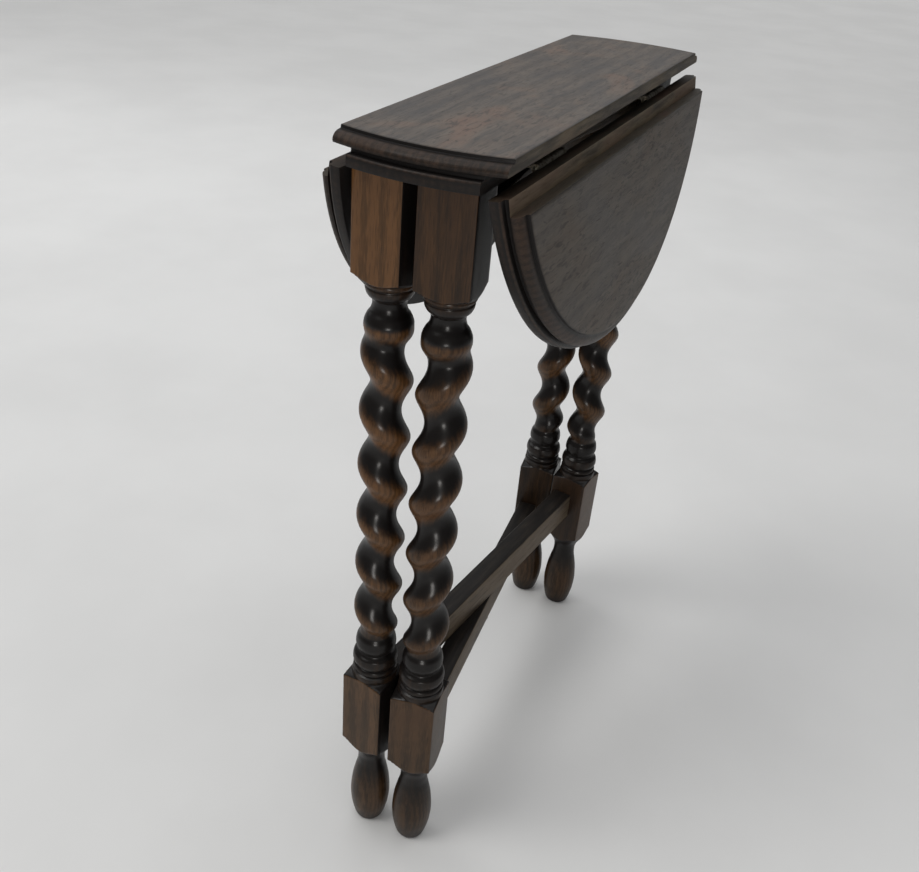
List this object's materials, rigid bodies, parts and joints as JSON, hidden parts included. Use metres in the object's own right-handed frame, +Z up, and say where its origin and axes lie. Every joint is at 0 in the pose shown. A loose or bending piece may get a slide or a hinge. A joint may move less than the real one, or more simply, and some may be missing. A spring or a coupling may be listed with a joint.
{
  "type": "gateleg table",
  "caption": "Small folding table with an oval moulded top in three boards, two drop leaves and barley-twist legs in two crossing frames.",
  "frame": {"origin": "on the floor, under the middle of the folded table's bounding box", "axes": "+Z up, +Y along the top's long axis, +X across the folded table towards the right leaf"},
  "size_m": [0.178, 0.4608, 0.66],
  "materials": {
    "oak_top": "dark stained oak, worn satin wax",
    "oak_turned": "dark stained oak, glossy on the turned ridges",
    "oak_frame": "dark stained oak, dull",
    "hinge_metal": "dull worn steel",
    "screw_metal": "dull worn steel"
  },
  "bodies": {
    "top": {"centre_board": "oak_top", "pivot_screw_upper": "screw_metal", "pivot_washer_upper": "screw_metal", "hinge_left_near_board_plate": "hinge_metal", "hinge_left_near_pin": "hinge_metal", "screw_left_near_board_1": "screw_metal", "screw_left_near_board_2": "screw_metal", "hinge_left_far_board_plate": "hinge_metal", "hinge_left_far_pin": "hinge_metal", "screw_left_far_board_1": "screw_metal", "screw_left_far_board_2": "screw_metal", "hinge_right_near_board_plate": "hinge_metal", "hinge_right_near_pin": "hinge_metal", "screw_right_near_board_1": "screw_metal", "screw_right_near_board_2": "screw_metal", "hinge_right_far_board_plate": "hinge_metal", "hinge_right_far_pin": "hinge_metal", "screw_right_far_board_1": "screw_metal", "screw_right_far_board_2": "screw_metal"},
    "leaf_left": {"leaf_left": "oak_top", "hinge_left_near_leaf_plate": "hinge_metal", "screw_left_near_leaf_1": "screw_metal", "screw_left_near_leaf_2": "screw_metal", "hinge_left_far_leaf_plate": "hinge_metal", "screw_left_far_leaf_1": "screw_metal", "screw_left_far_leaf_2": "screw_metal"},
    "leaf_right": {"leaf_right": "oak_top", "hinge_right_near_leaf_plate": "hinge_metal", "screw_right_near_leaf_1": "screw_metal", "screw_right_near_leaf_2": "screw_metal", "hinge_right_far_leaf_plate": "hinge_metal", "screw_right_far_leaf_1": "screw_metal", "screw_right_far_leaf_2": "screw_metal"},
    "frame_a": {"leg_near_left": "oak_turned", "leg_far_right": "oak_turned", "stretcher_a": "oak_frame", "rail_a": "oak_frame"},
    "frame_b": {"leg_near_right": "oak_turned", "leg_far_left": "oak_turned", "stretcher_b": "oak_frame", "rail_b": "oak_frame", "pivot_screw_lower": "screw_metal", "pivot_washer_lower": "screw_metal"}
  },
  "joints": [
    {"name": "leaf_left_lift", "type": "hinge", "parent": "top", "child": "leaf_left", "pos_m": [-0.0495, 0, 0.6375], "axis": [0, 1, 0], "range_deg": [0, 83.6]},
    {"name": "leaf_right_lift", "type": "hinge", "parent": "top", "child": "leaf_right", "pos_m": [0.0495, 0, 0.6375], "axis": [0, -1, 0], "range_deg": [0, 83.6]},
    {"name": "frame_a_swing", "type": "hinge", "parent": "top", "child": "frame_a", "pos_m": [-0.0085, 0, 0.6], "axis": [0, 0, 1], "range_deg": [-0.7, 0]},
    {"name": "frame_b_swing", "type": "hinge", "parent": "top", "child": "frame_b", "pos_m": [-0.0085, 0, 0.6], "axis": [0, 0, 1], "range_deg": [0, 0.7]}
  ]
}
